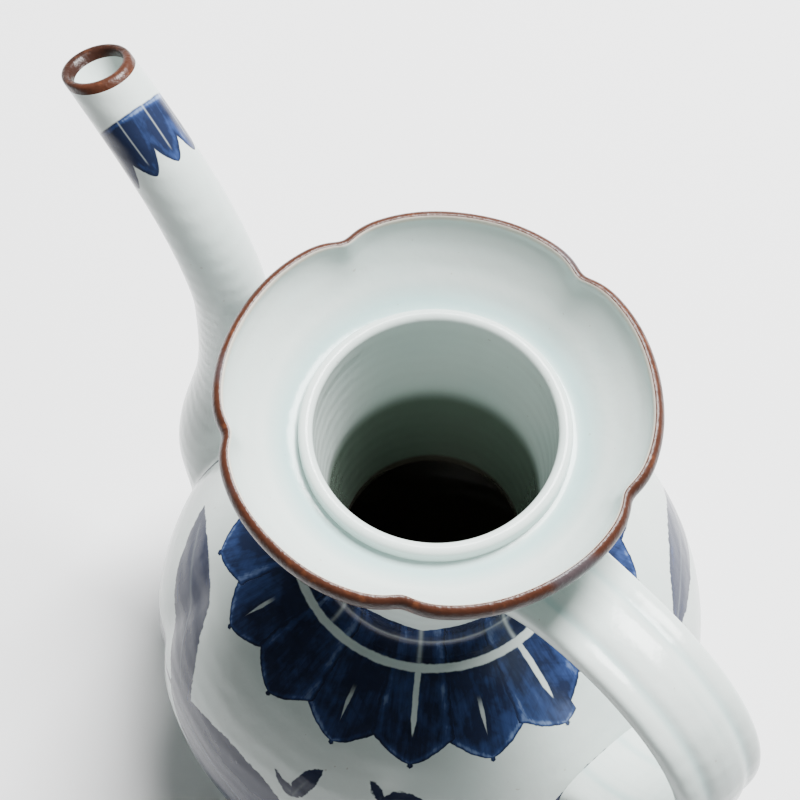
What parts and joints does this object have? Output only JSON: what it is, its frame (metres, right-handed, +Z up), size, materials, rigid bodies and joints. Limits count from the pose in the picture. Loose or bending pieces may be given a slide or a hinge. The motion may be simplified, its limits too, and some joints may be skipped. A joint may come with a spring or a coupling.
{
  "type": "ewer",
  "caption": "Glazed porcelain sake ewer: round belly on a foot ring, tall neck, lobed cup mouth, curved spout and reeded strap handle.",
  "frame": {"origin": "on the vessel's axis, in the plane the foot ring stands on", "axes": "+Z up along the vessel's axis, spout towards +X, handle towards -X, +Y across"},
  "size_m": [0.1678, 0.108, 0.1425],
  "materials": {
    "painted_porcelain": "clear gloss glaze over cobalt blue brushwork",
    "plain_porcelain": "clear gloss glaze with a faint blue-green tint",
    "iron_brown_glaze": "thin gloss iron-brown glaze",
    "unglazed_porcelain": "bare, smooth and matt"
  },
  "bodies": {
    "root": {"foot_ring": "unglazed_porcelain", "body_lower": "painted_porcelain", "body_upper": "painted_porcelain", "neck": "painted_porcelain", "throat_ring": "plain_porcelain", "mouth_cup": "plain_porcelain", "mouth_lip": "iron_brown_glaze", "spout": "painted_porcelain", "spout_lip": "iron_brown_glaze", "handle": "plain_porcelain"}
  },
  "joints": []
}
